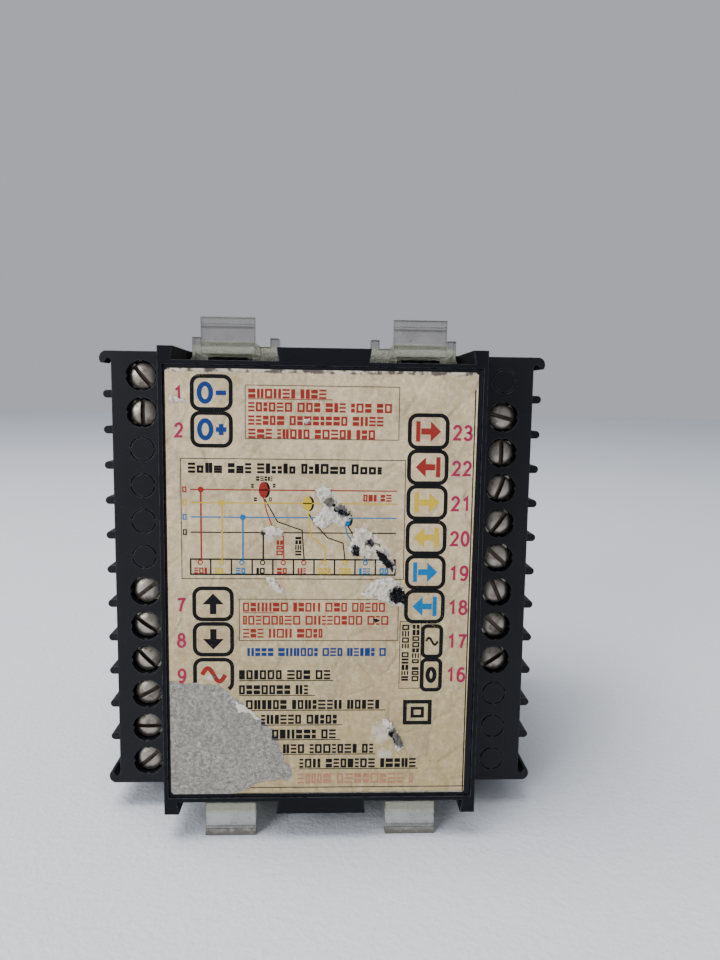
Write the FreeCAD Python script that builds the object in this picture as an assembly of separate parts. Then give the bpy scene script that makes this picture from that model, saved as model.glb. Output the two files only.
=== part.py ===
import FreeCAD, Part
import os
from FreeCAD import Vector

# Panel-mount energy meter, 96 x 96 mm front. Origin: centre of the panel seat,
# the rear face of the bezel. +Z is up, the display looks along -Y, and the
# terminals, the label and the four panel clips are at +Y. Left and right are
# as seen from the rear, so left is +X.

os.makedirs("parts", exist_ok=True)

# ---- front ----
BEZEL = 96.0            # square bezel
BEZEL_DEPTH = 9.0       # how far it stands in front of the panel
BEZEL_WALL = 2.0        # front wall
SOCKET_DEPTH = 3.0      # how deep the housing enters the bezel
SOCKET_GAP = 0.05
WINDOW_W, WINDOW_H, WINDOW_Z = 78.0, 52.0, 13.0
WINDOW_T = 1.4
WINDOW_LAP = 2.0        # ledge that the window is glued to
KEY_W, KEY_H, KEY_Z = 12.0, 7.0, -31.0
KEY_PITCH = 18.0
KEY_GAP = 0.2
KEY_TRAVEL = 0.8
KEY_PROUD = 0.9
POST_XZ = 39.0          # screw posts behind the bezel, in from the axes
POST_Z_INSET = 1.5

# ---- housing ----
BODY = 90.0             # square body behind the panel
DEPTH = 70.0            # panel seat to the rear rim
WALL = 2.0
BODY_RADIUS = 1.5
SHOULDER = 42.0         # where the body steps in to the rear block
BLOCK_W = 60.6          # width of the rear block
CHANNEL_FLOOR = 42.5    # distance of the clip channels' floor from the axis
CHANNEL_START = 4.0     # the channels run from here to the rear
RIDGE_HALF = 8.7        # half width of the middle rail
RIDGE_UNDERCUT = 0.4    # dovetail undercut of the middle rail
RAIL_INNER = 26.45      # inner edge of the corner rails
RAIL_UNDERCUT = 0.65    # dovetail undercut of the corner rails
RAIL_KNEE = 43.9        # the undercut starts at this distance from the axis
LEAD_IN = 17.0          # length of the channels' wider rear end
LEAD_IN_X, LEAD_IN_ROOT = 27.5, 27.9
RACK_HALF = 3.8         # ratchet rack on the channel floor
RACK_TOP = 43.5
RACK_PITCH = 2.0
RACK_END = 62.0
RIM = 0.85              # rim round the rear cover
COVER_STEP = 0.4        # cover lies this far below the rim
COVER_T = 2.0
LABEL_W, LABEL_H, LABEL_T = 58.0, 82.0, 0.15

# ---- terminals ----
WAYS = 12
PITCH = 7.24
STRIP_REAR = 58.6       # rear face of the terminal strips
STRIP_X = 41.9          # outer wall of the strips
STRIP_HALF = 44.6       # half height of the strips
HOLE_X = 36.1
HOLE_R = 3.03
RIB_T = 1.6
RIB_TIP = 44.75
RIB_END = 54.8
RIB_ROOT = 0.7          # flare at the foot of each rib
POCKET_FLOOR = 46.0
POCKET_TOP = 56.0
LINTEL = 54.3           # top of the side openings
LINTEL_X = 39.4
POCKET_IN = 33.0
RING_R, RING_W, RING_D = 2.35, 0.3, 0.4     # knock-out rings of the unused ways
STUB_W, STUB_IN, STUB_D = 0.6, 0.26, 0.6    # moulding stubs in the open holes
LEFT_USED = (1, 2, 7, 8, 9, 10, 11, 12)
RIGHT_USED = (16, 17, 18, 19, 20, 21, 22, 23)
SLOT_ANGLE = {1: -50, 2: 90, 7: 38, 8: -35, 9: -45, 10: 28, 11: 0, 12: 40,
              16: 35, 17: -42, 18: -65, 19: -42, 20: 55, 21: 70, 22: 90, 23: -15}

# ---- terminal hardware ----
HEAD_R = 2.58
HEAD_RIM = 57.3         # edge of the head, below the strip's face
HEAD_UNDER = 55.9
HEAD_DOME = 0.55
SLOT_W, SLOT_D = 0.85, 1.0
SHANK_R = 1.5           # M3 x 0.5
SHANK_LENGTH = 7.0
SCREW_GAP = 0.05        # radial running clearance
PLATE = 5.2
PLATE_T = 1.0
PLATE_GAP = 0.03
BAR_TOP = 52.8
BAR_T = 2.0
BAR_X = (33.2, 39.2)
BAR_W = 5.4
LEG_X = (33.2, 34.0)
LEG_W = 1.2

# ---- clips ----
CLIP_X = 17.75
CLIP_GAP = 0.12
CLIP_FRONT, CLIP_REAR = 52.6, 57.2      # runners
CLIP_TOP = 45.9
ARCH_X = 18.6           # the rack and the arch over it
ARCH_HALF = 4.2
ARCH_TOP = 43.75
TONGUE_TOP = 45.9
TAB_HALF = 4.93
TAB_REAR = 68.05
TAB_T = 1.5
TAB_TOP = 50.45
LIP_H, LIP_OUT = 1.3, 0.35
EAR_OUT, EAR_T = 8.55, 1.7
EAR_TOP = 47.6
EAR_Y = (52.6, 57.2)

# ---- boards ----
BOARD_T = 1.6
DISPLAY_BOARD = (84.0, 79.0)
POWER_BOARD = (84.0, 79.0)
POWER_BOARD_Y = 35.0
SHOULDER_BOSS = (38.5, 36.5)


def box(x0, x1, y0, y1, z0, z1):
    return Part.makeBox(x1 - x0, y1 - y0, z1 - z0, Vector(x0, y0, z0))


def centred(width, height, y0, y1, x=0.0, z=0.0):
    """A box centred on (x, z), between two depths."""
    return box(x - width / 2, x + width / 2, y0, y1, z - height / 2, z + height / 2)


def rod(radius, y0, y1, x=0.0, z=0.0):
    """A cylinder along Y."""
    return Part.makeCylinder(radius, y1 - y0, Vector(x, y0, z), Vector(0, 1, 0))


def prism_y(points, y0, y1):
    """An outline of (x, z) points drawn out along Y."""
    outline = [Vector(x, y0, z) for x, z in points]
    face = Part.Face(Part.makePolygon(outline + outline[:1]))
    return face.extrude(Vector(0, y1 - y0, 0))


def along(shape, axis):
    """The straight edges of a shape that run along an axis."""
    return [e for e in shape.Edges if isinstance(e.Curve, Part.Line)
            and abs(e.Curve.Direction.dot(axis)) > 0.999]


def round_long_edges(shape, radius):
    return shape.makeFillet(radius, along(shape, Vector(0, 1, 0)))


def both_sides(shape):
    """The shape with its mirror image across the X = 0 plane."""
    return [shape, shape.mirror(Vector(0, 0, 0), Vector(1, 0, 0))]


def all_quarters(shape):
    halves = both_sides(shape)
    return halves + [s.mirror(Vector(0, 0, 0), Vector(0, 0, 1)) for s in halves]


def way_z(index):
    """Height of a terminal way, counted from 0 at the top."""
    return ((WAYS - 1) / 2 - index) * PITCH


def used_ways(side):
    """(terminal number, row index) of each way that has a screw."""
    if side > 0:
        return [(n, n - 1) for n in LEFT_USED]
    return [(n, 24 - n) for n in RIGHT_USED]


def save(name, shape):
    shape.exportStep(f"parts/{name}.step")


# ---------------------------------------------------------------- front

def key_places():
    return [(KEY_PITCH * (i - 1.5), KEY_Z) for i in range(4)]


def post_places():
    z = POST_XZ - POST_Z_INSET
    return [(sx * POST_XZ, sz * z) for sx in (-1, 1) for sz in (-1, 1)]


def front_bezel():
    shell = round_long_edges(centred(BEZEL, BEZEL, -BEZEL_DEPTH, 0), 2.0)
    front = [e for e in shell.Edges if all(abs(v.Y + BEZEL_DEPTH) < 1e-6 for v in e.Vertexes)]
    shell = shell.makeFillet(1.2, front)
    inside = BODY - 2 * WALL
    shell = shell.cut(centred(inside, inside, -BEZEL_DEPTH + BEZEL_WALL, 0))
    socket = round_long_edges(centred(BODY + 2 * SOCKET_GAP, BODY + 2 * SOCKET_GAP,
                                      -SOCKET_DEPTH, 0), BODY_RADIUS)
    shell = shell.cut(socket)
    for x, z in post_places():
        shell = shell.fuse(rod(2.6, -BEZEL_DEPTH + BEZEL_WALL, 0, x, z))
    for x, z in post_places():
        shell = shell.cut(rod(1.0, -5.5, 0, x, z))
    rebate = round_long_edges(centred(WINDOW_W, WINDOW_H, -BEZEL_DEPTH,
                                      -BEZEL_DEPTH + WINDOW_T, 0, WINDOW_Z), 1.5)
    opening = centred(WINDOW_W - 2 * WINDOW_LAP, WINDOW_H - 2 * WINDOW_LAP,
                      -BEZEL_DEPTH, -BEZEL_DEPTH + BEZEL_WALL, 0, WINDOW_Z)
    shell = shell.cut(rebate).cut(opening)
    for x, z in key_places():
        hole = round_long_edges(centred(KEY_W, KEY_H, -BEZEL_DEPTH,
                                        -BEZEL_DEPTH + BEZEL_WALL, x, z), 1.5)
        shell = shell.cut(hole)
    return shell


def display_window():
    clear = 0.1
    return round_long_edges(centred(WINDOW_W - clear, WINDOW_H - clear, -BEZEL_DEPTH + 0.1,
                                    -BEZEL_DEPTH + WINDOW_T, 0, WINDOW_Z), 1.4)


def key(x, z):
    width, height = KEY_W - 2 * KEY_GAP, KEY_H - 2 * KEY_GAP
    front = -BEZEL_DEPTH - KEY_PROUD
    inner = -BEZEL_DEPTH + BEZEL_WALL + 0.1
    cap = round_long_edges(centred(width, height, front, inner, x, z), 1.3)
    cap = cap.makeFillet(0.5, [e for e in cap.Edges
                               if all(abs(v.Y - front) < 1e-6 for v in e.Vertexes)])
    flange = centred(KEY_W + 2, KEY_H + 2, inner, inner + 1.0, x, z)
    stem = rod(1.6, inner + 1.0, -5.0, x, z)
    return cap.fuse(flange).fuse(stem).removeSplitter()


def tact_switches():
    top = -5.0 + KEY_TRAVEL + 0.1
    pieces = []
    for x, z in key_places():
        body = centred(6.0, 6.0, -3.3, 0, x, z)
        pieces.append(body.fuse(rod(1.7, top, -3.3, x, z)).removeSplitter())
    return Part.Compound(pieces)


def display_modules():
    """Three rows of seven-segment digits, each with a shallow stepped frame."""
    rows = []
    for i in range(3):
        z = WINDOW_Z + (1 - i) * 15.4
        body = centred(62.0, 13.6, -6.2, 0, 4.0, z)
        digit = 62.0 / 5
        for d in range(5):
            x = 4.0 + (d - 2) * digit
            body = body.cut(centred(0.3, 13.6, -6.2, -6.0, x - digit / 2, z))
        rows.append(body)
    return Part.Compound(rows)


def indicator_leds():
    leds = []
    for i in range(3):
        z = WINDOW_Z + (1 - i) * 15.4
        lamp = rod(1.5, -5.0, 0, -33.0, z)
        leds.append(lamp.fuse(Part.makeSphere(1.5, Vector(-33.0, -5.0, z))).removeSplitter())
    return Part.Compound(leds)


def display_board():
    board = centred(DISPLAY_BOARD[0], DISPLAY_BOARD[1], 0, BOARD_T)
    for x, z in post_places():
        board = board.cut(rod(1.4, 0, BOARD_T, x, z))
    return board


def pan_screw(x, z, seat, direction, length, radius):
    """A small board screw: its head sits on seat, its shank runs the other way."""
    head = Part.makeCylinder(2.0, 1.3, Vector(x, seat, z), Vector(0, direction, 0))
    shank = Part.makeCylinder(radius, length, Vector(x, seat, z), Vector(0, -direction, 0))
    end = seat + 1.3 * direction
    slot = centred(4.4, 0.6, min(end, end - 0.6 * direction), max(end, end - 0.6 * direction),
                   x, z)
    return head.fuse(shank).cut(slot).removeSplitter()


def board_screws():
    front = [pan_screw(x, z, BOARD_T, 1, 6.0, 1.0) for x, z in post_places()]
    rear = [pan_screw(sx * SHOULDER_BOSS[0], sz * SHOULDER_BOSS[1], POWER_BOARD_Y, -1, 5.0, 1.0)
            for sx in (-1, 1) for sz in (-1, 1)]
    return Part.Compound(front + rear)


# -------------------------------------------------------------- housing

def clip_channel():
    """The dovetail channel at the upper left, with its ratchet rack left standing."""
    mouth = BODY / 2 + 0.01
    ridge = [(RIDGE_HALF - RIDGE_UNDERCUT, CHANNEL_FLOOR), (RIDGE_HALF, mouth)]
    rail = [(RAIL_INNER, mouth), (RAIL_INNER, RAIL_KNEE), (RAIL_INNER + RAIL_UNDERCUT, CHANNEL_FLOOR)]
    lead_in = [(LEAD_IN_X, mouth), (LEAD_IN_ROOT, CHANNEL_FLOOR)]
    groove = prism_y(ridge + rail, CHANNEL_START, DEPTH - LEAD_IN)
    groove = groove.fuse(prism_y(ridge + lead_in, DEPTH - LEAD_IN, DEPTH))
    rack = box(ARCH_X - RACK_HALF, ARCH_X + RACK_HALF, CHANNEL_START, RACK_END,
               CHANNEL_FLOOR, RACK_TOP)
    steps = int((RACK_END - CHANNEL_START) / RACK_PITCH)
    for i in range(steps):
        y = CHANNEL_START + i * RACK_PITCH
        tooth = [Vector(ARCH_X - RACK_HALF, y, RACK_TOP),
                 Vector(ARCH_X - RACK_HALF, y + RACK_PITCH * 0.8, RACK_TOP),
                 Vector(ARCH_X - RACK_HALF, y, RACK_TOP - 0.6)]
        face = Part.Face(Part.makePolygon(tooth + tooth[:1]))
        rack = rack.cut(face.extrude(Vector(2 * RACK_HALF, 0, 0)))
    return groove.cut(rack)


def main_housing():
    body = round_long_edges(centred(BODY, BODY, -SOCKET_DEPTH, SHOULDER), BODY_RADIUS)
    block = centred(BLOCK_W, BODY, SHOULDER - 1, DEPTH)
    shell = body.fuse(block).removeSplitter()
    inner_z = 2 * (CHANNEL_FLOOR - WALL)
    shell = shell.cut(centred(BODY - 2 * WALL, inner_z, -SOCKET_DEPTH, SHOULDER - WALL))
    shell = shell.cut(centred(BLOCK_W - 2 * WALL, inner_z, SHOULDER - WALL, DEPTH))
    cover_y = DEPTH - COVER_STEP - COVER_T
    shell = shell.cut(centred(BLOCK_W - 2 * RIM, 2 * (CHANNEL_FLOOR - RIM), cover_y, DEPTH))
    for channel in all_quarters(clip_channel()):
        shell = shell.cut(channel)
    for sx in (-1, 1):
        for sz in (-1, 1):
            x, z = sx * SHOULDER_BOSS[0], sz * SHOULDER_BOSS[1]
            shell = shell.fuse(rod(3.0, POWER_BOARD_Y + BOARD_T, SHOULDER - WALL + 0.5, x, z))
            shell = shell.cut(rod(1.0, POWER_BOARD_Y + BOARD_T, SHOULDER - WALL + 0.5, x, z))
        for number, row in used_ways(sx):
            shell = shell.cut(leg_slot(sx, row))
        for z in (-41.5, 0.0, 41.5):
            shell = shell.cut(rod(1.3, SHOULDER - WALL, SHOULDER, sx * HOLE_X, z))
        for z in (-28.0, 28.0):
            shell = shell.cut(latch_pocket(sx, z))
    return shell


def leg_slot(side, row):
    """The slot that a contact's leg takes through the strip's floor and the shoulder."""
    x = side * (LEG_X[0] + LEG_X[1]) / 2
    width = LEG_X[1] - LEG_X[0] + 0.4
    return centred(width, LEG_W + 0.4, SHOULDER - WALL, POCKET_FLOOR, x, way_z(row))


def latch_pocket(side, z):
    """A shallow pocket in the block's inner wall for one latch of the rear cover."""
    wall = BLOCK_W / 2 - WALL
    x0, x1 = sorted((side * wall, side * (wall + 0.7)))
    return box(x0, x1, 58.8, 61.0, z - 4.2, z + 4.2)


def rear_cover():
    clear = 0.1
    face_y = DEPTH - COVER_STEP
    plate = centred(BLOCK_W - 2 * RIM - 2 * clear, 2 * (CHANNEL_FLOOR - RIM - clear),
                    face_y - COVER_T, face_y)
    wall = BLOCK_W / 2 - WALL
    for side in (-1, 1):
        for z in (-28.0, 28.0):
            leg = centred(1.4, 8.0, 58.6, face_y - COVER_T, side * (wall - 0.8), z)
            nose = prism_z([(side * (wall - 0.2), 59.0), (side * (wall + 0.45), 60.7),
                            (side * (wall - 0.2), 60.7)], z - 4.0, z + 4.0)
            plate = plate.fuse(leg).fuse(nose)
    return plate.removeSplitter()


def prism_z(points, z0, z1):
    """An outline of (x, y) points drawn out along Z."""
    outline = [Vector(x, y, z0) for x, y in points]
    face = Part.Face(Part.makePolygon(outline + outline[:1]))
    return face.extrude(Vector(0, 0, z1 - z0))


def rating_label():
    y = DEPTH - COVER_STEP
    return centred(LABEL_W, LABEL_H, y, y + LABEL_T)


# ------------------------------------------------------------ terminals

def rib_section():
    """Divider rib in (x, z): flared at the strip's wall, round at the tip."""
    half = RIB_T / 2
    start = STRIP_X - 0.5
    tip = RIB_TIP - half
    points = [Vector(start, 0, half + RIB_ROOT), Vector(STRIP_X, 0, half + RIB_ROOT),
              Vector(STRIP_X + RIB_ROOT, 0, half), Vector(tip, 0, half)]
    low = [Vector(p.x, 0, -p.z) for p in reversed(points)]
    edges = [Part.LineSegment(a, b).toShape() for a, b in zip(points, points[1:])]
    edges.append(Part.Arc(points[-1], Vector(RIB_TIP, 0, 0), low[0]).toShape())
    edges += [Part.LineSegment(a, b).toShape() for a, b in zip(low, low[1:])]
    edges.append(Part.LineSegment(low[-1], points[0]).toShape())
    return Part.Face(Part.Wire(edges))


def end_hook():
    """The hooked corner of the strip's upper end wall: it points back at the ribs."""
    start = STRIP_X - 0.5
    a, b, c = [Vector(x, 0, z) for x, z in ((start, 42.5), (42.6, 43.3), (43.45, 42.25))]
    d, e, f = [Vector(x, 0, z) for x, z in ((43.9, 42.25), (43.0, STRIP_HALF), (start, STRIP_HALF))]
    edges = [Part.LineSegment(a, b).toShape(), Part.LineSegment(b, c).toShape(),
             Part.LineSegment(c, d).toShape(),
             Part.Arc(d, Vector(44.15, 0, 43.5), e).toShape(),
             Part.LineSegment(e, f).toShape(), Part.LineSegment(f, a).toShape()]
    face = Part.Face(Part.Wire(edges))
    face.translate(Vector(0, SHOULDER, 0))
    return face.extrude(Vector(0, STRIP_REAR - SHOULDER, 0))


def terminal_block():
    """The left strip, without what differs from way to way."""
    block = box(BLOCK_W / 2, STRIP_X, SHOULDER, STRIP_REAR, -STRIP_HALF, STRIP_HALF)
    rib = rib_section()
    rib.translate(Vector(0, SHOULDER, 0))
    for i in range(WAYS - 1):
        bar = rib.extrude(Vector(0, RIB_END - SHOULDER, 0))
        bar.translate(Vector(0, 0, way_z(i + 0.5)))
        block = block.fuse(bar)
    hook = end_hook()
    block = block.fuse(hook).fuse(hook.mirror(Vector(0, 0, 0), Vector(0, 0, 1)))
    for z in (-41.5, 0.0, 41.5):
        block = block.fuse(rod(1.2, SHOULDER - WALL, SHOULDER, HOLE_X, z))
    return block.removeSplitter()


def terminal_pocket(z):
    """Screw hole, clamp chamber and side opening of one way on the left strip."""
    half = (PITCH - RIB_T) / 2
    chamber = box(POCKET_IN, LINTEL_X, POCKET_FLOOR, POCKET_TOP, z - half, z + half)
    mouth = box(LINTEL_X - 0.1, STRIP_X + 3, POCKET_FLOOR, LINTEL, z - half, z + half)
    hole = rod(HOLE_R, POCKET_TOP - 0.1, STRIP_REAR, HOLE_X, z)
    for dx, dz in ((1, 0), (-1, 0), (0, 1), (0, -1)):
        x, height = HOLE_X + dx * HOLE_R, z + dz * HOLE_R
        wide_x = 2 * STUB_IN if dx else STUB_W
        wide_z = 2 * STUB_IN if dz else STUB_W
        hole = hole.cut(centred(wide_x, wide_z, STRIP_REAR - STUB_D, STRIP_REAR, x, height))
    return chamber.fuse(mouth).fuse(hole)


def knock_out_ring(z):
    """The broken ring groove of an unused way on the left strip."""
    y = STRIP_REAR - RING_D
    ring = rod(RING_R + RING_W / 2, y, STRIP_REAR, HOLE_X, z)
    ring = ring.cut(rod(RING_R - RING_W / 2, y, STRIP_REAR, HOLE_X, z))
    ring = ring.cut(centred(STUB_W, 3 * RING_R, y, STRIP_REAR, HOLE_X, z))
    return ring.cut(centred(3 * RING_R, STUB_W, y, STRIP_REAR, HOLE_X, z))


def finished_block(side):
    block = terminal_block()
    rows = [row for number, row in used_ways(side)]
    cuts = []
    for row in range(WAYS):
        if row in rows:
            cuts.append(terminal_pocket(way_z(row)))
            cuts.append(leg_slot(1, row))
        else:
            cuts.append(knock_out_ring(way_z(row)))
    for cut in cuts:
        block = block.cut(cut)
    return block if side > 0 else both_sides(block)[1]


def terminal_contacts(side):
    """Tinned clamp bars with a tapped hole, each with a leg down to the power board."""
    bars = []
    for number, row in used_ways(side):
        z = way_z(row)
        bar = box(BAR_X[0], BAR_X[1], BAR_TOP - BAR_T, BAR_TOP, z - BAR_W / 2, z + BAR_W / 2)
        leg = box(LEG_X[0], LEG_X[1], POWER_BOARD_Y + BOARD_T, BAR_TOP - BAR_T,
                  z - LEG_W / 2, z + LEG_W / 2)
        bar = bar.fuse(leg).cut(rod(SHANK_R + SCREW_GAP, BAR_TOP - BAR_T, BAR_TOP, HOLE_X, z))
        bars.append(bar if side > 0 else both_sides(bar)[1])
    return Part.Compound(bars)


def terminal_screw(side, number, row):
    """Slotted pan-head M3 screw; the slot lies at its own angle."""
    x, z = side * HOLE_X, way_z(row)
    rim, top = Vector(HEAD_R, HEAD_RIM, 0), Vector(0, HEAD_RIM + HEAD_DOME, 0)
    bulge = Vector(HEAD_R * 0.72, HEAD_RIM + HEAD_DOME * 0.56, 0)
    foot, axis = Vector(HEAD_R, HEAD_UNDER, 0), Vector(0, HEAD_UNDER, 0)
    edges = [Part.Arc(top, bulge, rim).toShape(), Part.LineSegment(rim, foot).toShape(),
             Part.LineSegment(foot, axis).toShape(), Part.LineSegment(axis, top).toShape()]
    head = Part.Face(Part.Wire(edges)).revolve(Vector(0, 0, 0), Vector(0, 1, 0), 360)
    end = HEAD_UNDER - SHANK_LENGTH
    shank = rod(SHANK_R, end + 0.4, HEAD_UNDER)
    point = Part.makeCone(SHANK_R - 0.4, SHANK_R, 0.4, Vector(0, end, 0), Vector(0, 1, 0))
    slot = centred(3 * HEAD_R, SLOT_W, HEAD_RIM + HEAD_DOME - SLOT_D, HEAD_RIM + HEAD_DOME + 1)
    slot.rotate(Vector(0, 0, 0), Vector(0, 1, 0), SLOT_ANGLE[number])
    screw = head.fuse(shank).fuse(point).cut(slot).removeSplitter()
    screw.translate(Vector(x, 0, z))
    return screw


def clamp_plate(side, row):
    """Square plate with broken edges, held under the screw's head."""
    x, z = side * HOLE_X, way_z(row)
    top = HEAD_UNDER - PLATE_GAP
    plate = centred(PLATE, PLATE, top - PLATE_T, top, x, z)
    plate = plate.makeChamfer(0.25, [e for e in plate.Edges
                                     if all(abs(v.Y - top) < 1e-6 for v in e.Vertexes)])
    return plate.cut(rod(SHANK_R + SCREW_GAP, top - PLATE_T, top, x, z))


# ---------------------------------------------------------------- clips

def panel_clip():
    """The clip of the upper left channel: runners, arch, thumb tab and two ears."""
    floor, edge = CHANNEL_FLOOR + CLIP_GAP, BODY / 2
    inner, outer = RIDGE_HALF + CLIP_GAP, RAIL_INNER - CLIP_GAP
    inner_foot = inner - RIDGE_UNDERCUT * (edge - floor) / (edge - CHANNEL_FLOOR)
    outer_foot = outer + RAIL_UNDERCUT * (RAIL_KNEE - floor) / (RAIL_KNEE - CHANNEL_FLOOR)
    outline = [(inner_foot, floor), (inner, edge), (inner, CLIP_TOP),
               (outer, CLIP_TOP), (outer, RAIL_KNEE), (outer_foot, floor)]
    clip = prism_y(outline, CLIP_FRONT, CLIP_REAR)
    left, right = CLIP_X - TAB_HALF, CLIP_X + TAB_HALF
    clip = clip.fuse(box(left, right, CLIP_FRONT, TAB_REAR, ARCH_TOP, TONGUE_TOP))
    clip = clip.cut(box(ARCH_X - ARCH_HALF, ARCH_X + ARCH_HALF, CLIP_FRONT, CLIP_REAR,
                        CHANNEL_FLOOR, ARCH_TOP))
    tab = box(left, right, TAB_REAR - TAB_T, TAB_REAR, ARCH_TOP, TAB_TOP)
    lip = box(left, right, TAB_REAR - TAB_T, TAB_REAR + LIP_OUT, TAB_TOP - LIP_H, TAB_TOP)
    lip = lip.makeFillet(0.3, along(lip, Vector(1, 0, 0)))
    clip = clip.fuse(tab).fuse(lip)
    for side in (-1, 1):
        x0, x1 = sorted((CLIP_X + side * EAR_OUT, CLIP_X + side * (EAR_OUT - EAR_T)))
        clip = clip.fuse(box(x0, x1, EAR_Y[0], EAR_Y[1], CLIP_TOP - 0.1, EAR_TOP))
    return clip.removeSplitter()


# --------------------------------------------------------------- boards

def power_board():
    board = centred(POWER_BOARD[0], POWER_BOARD[1], POWER_BOARD_Y, POWER_BOARD_Y + BOARD_T)
    for sx in (-1, 1):
        for sz in (-1, 1):
            board = board.cut(rod(1.3, POWER_BOARD_Y, POWER_BOARD_Y + BOARD_T,
                                  sx * SHOULDER_BOSS[0], sz * SHOULDER_BOSS[1]))
    return board


def transformer():
    """Switching transformer: a ferrite frame round a wound bobbin."""
    base = POWER_BOARD_Y + BOARD_T
    x, z = -9.5, 18.0
    bobbin = centred(16.0, 14.0, base, base + 3.0, x, z)
    winding = rod(6.6, base + 3.0, base + 13.0, x, z)
    flange = centred(16.0, 14.0, base + 13.0, base + 14.5, x, z)
    core = centred(20.0, 6.0, base + 1.0, base + 17.0, x, z)
    core = core.cut(centred(14.5, 6.0, base + 4.0, base + 14.0, x, z))
    return bobbin.fuse(winding).fuse(flange).fuse(core).removeSplitter()


def capacitors():
    base = POWER_BOARD_Y + BOARD_T
    cans = []
    for x, z, radius, height in ((14.0, 24.0, 6.3, 22.0), (14.0, 9.0, 5.0, 16.0),
                                 (1.5, 2.0, 4.0, 12.0), (-20.0, -2.0, 3.1, 11.0)):
        can = rod(radius, base, base + height, x, z)
        groove = rod(radius, base + 2.0, base + 2.8, x, z)
        groove = groove.cut(rod(radius - 0.4, base + 2.0, base + 2.8, x, z))
        cans.append(can.cut(groove))
    return Part.Compound(cans)


def board_chips():
    """Metering chip, processor, optocouplers and the sensing resistors' row."""
    base = POWER_BOARD_Y + BOARD_T
    chips = [centred(10.0, 10.0, base, base + 1.4, 12.0, -14.0),
             centred(7.5, 10.0, base, base + 2.2, -6.0, -16.0)]
    chips += [centred(6.4, 4.6, base, base + 3.4, 24.0, -4.0 - 7.0 * i) for i in range(4)]
    chips += [centred(7.5, 2.4, base, base + 2.4, -24.0, 34.0 - 4.5 * i) for i in range(6)]
    chips.append(centred(12.0, 12.0, BOARD_T, BOARD_T + 1.4, 0.0, 8.0))
    return Part.Compound(chips)


def board_headers():
    """Two pin headers that join the display board to the power board."""
    headers = []
    for side in (-1, 1):
        x = side * 30.0
        low = centred(2.6, 25.4, BOARD_T, BOARD_T + 8.5, x, -12.0)
        high = centred(2.6, 25.4, POWER_BOARD_Y - 8.5, POWER_BOARD_Y, x, -12.0)
        header = low.fuse(high)
        for i in range(10):
            header = header.fuse(centred(0.64, 0.64, BOARD_T + 8.0, POWER_BOARD_Y - 8.0,
                                         x, -12.0 + 2.54 * (i - 4.5)))
        headers.append(header)
    return Part.Compound(headers)


# ----------------------------------------------------------------- build

def build():
    single = {
        "front_bezel": front_bezel, "display_window": display_window,
        "tact_switches": tact_switches, "display_modules": display_modules,
        "indicator_leds": indicator_leds, "display_board": display_board,
        "board_screws": board_screws, "board_headers": board_headers,
        "power_board": power_board, "transformer": transformer,
        "capacitors": capacitors, "board_chips": board_chips,
        "main_housing": main_housing, "rear_cover": rear_cover,
        "rating_label": rating_label,
    }
    for name, make in single.items():
        save(name, make())
    for i, (x, z) in enumerate(key_places()):
        save(f"key_{i + 1}", key(-x, z))
    for side, word in ((1, "left"), (-1, "right")):
        save(f"terminal_block_{word}", finished_block(side))
        save(f"terminal_contacts_{word}", terminal_contacts(side))
        for number, row in used_ways(side):
            save(f"terminal_screw_{number:02d}", terminal_screw(side, number, row))
            save(f"clamp_plate_{number:02d}", clamp_plate(side, row))
    places = ("top_left", "top_right", "bottom_left", "bottom_right")
    for place, clip in zip(places, all_quarters(panel_clip())):
        save(f"panel_clip_{place}", clip)


build()
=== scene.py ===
import bpy
import bmesh
import random
from math import atan2, cos, hypot, pi, radians, sin
from mathutils import Matrix, Vector, noise


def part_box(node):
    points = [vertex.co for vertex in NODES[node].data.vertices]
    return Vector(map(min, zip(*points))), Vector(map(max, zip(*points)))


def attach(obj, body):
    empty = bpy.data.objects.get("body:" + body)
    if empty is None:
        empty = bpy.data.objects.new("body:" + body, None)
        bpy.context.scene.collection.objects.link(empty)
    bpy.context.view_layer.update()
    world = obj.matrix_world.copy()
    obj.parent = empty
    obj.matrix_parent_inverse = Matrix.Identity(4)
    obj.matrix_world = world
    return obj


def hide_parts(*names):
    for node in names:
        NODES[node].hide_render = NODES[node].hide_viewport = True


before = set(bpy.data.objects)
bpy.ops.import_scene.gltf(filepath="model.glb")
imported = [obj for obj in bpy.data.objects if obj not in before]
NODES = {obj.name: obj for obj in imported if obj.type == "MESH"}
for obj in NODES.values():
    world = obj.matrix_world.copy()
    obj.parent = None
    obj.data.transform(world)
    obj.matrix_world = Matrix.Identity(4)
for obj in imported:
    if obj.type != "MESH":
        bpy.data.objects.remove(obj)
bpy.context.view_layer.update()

# Panel-mount energy meter, seen from its terminal side. The shapes that carry,
# fit or move come from the frame. This script adds the printed label with its
# wear, the display's segments, the print on the front and every finish.
# Lengths are millimetres until a piece is put in place, which is in metres.

MM = 0.001

cover_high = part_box("rear_cover")[1]
label_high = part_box("rating_label")[1]
PAPER_Y = cover_high[1] / MM                    # the cover's outer face
LABEL_HALF_W = label_high[0] / MM
LABEL_HALF_H = label_high[2] / MM


# ------------------------------------------------------------ finishes

class Value:
    """A socket that can stand in a sum: each sum adds the Math node that it needs."""

    def __init__(self, finish, socket):
        self.finish = finish
        self.socket = socket

    def sum(self, operation, first, second):
        return self.finish.node("Math", {"operation": operation}, {0: first, 1: second})

    def __add__(self, other):
        return self.sum("ADD", self, other)

    __radd__ = __add__

    def __mul__(self, other):
        return self.sum("MULTIPLY", self, other)

    __rmul__ = __mul__

    def __sub__(self, other):
        return self.sum("SUBTRACT", self, other)

    def __rsub__(self, other):
        return self.sum("SUBTRACT", other, self)

    def __or__(self, other):
        """The larger of the two."""
        return self.sum("MAXIMUM", self, other)


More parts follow.
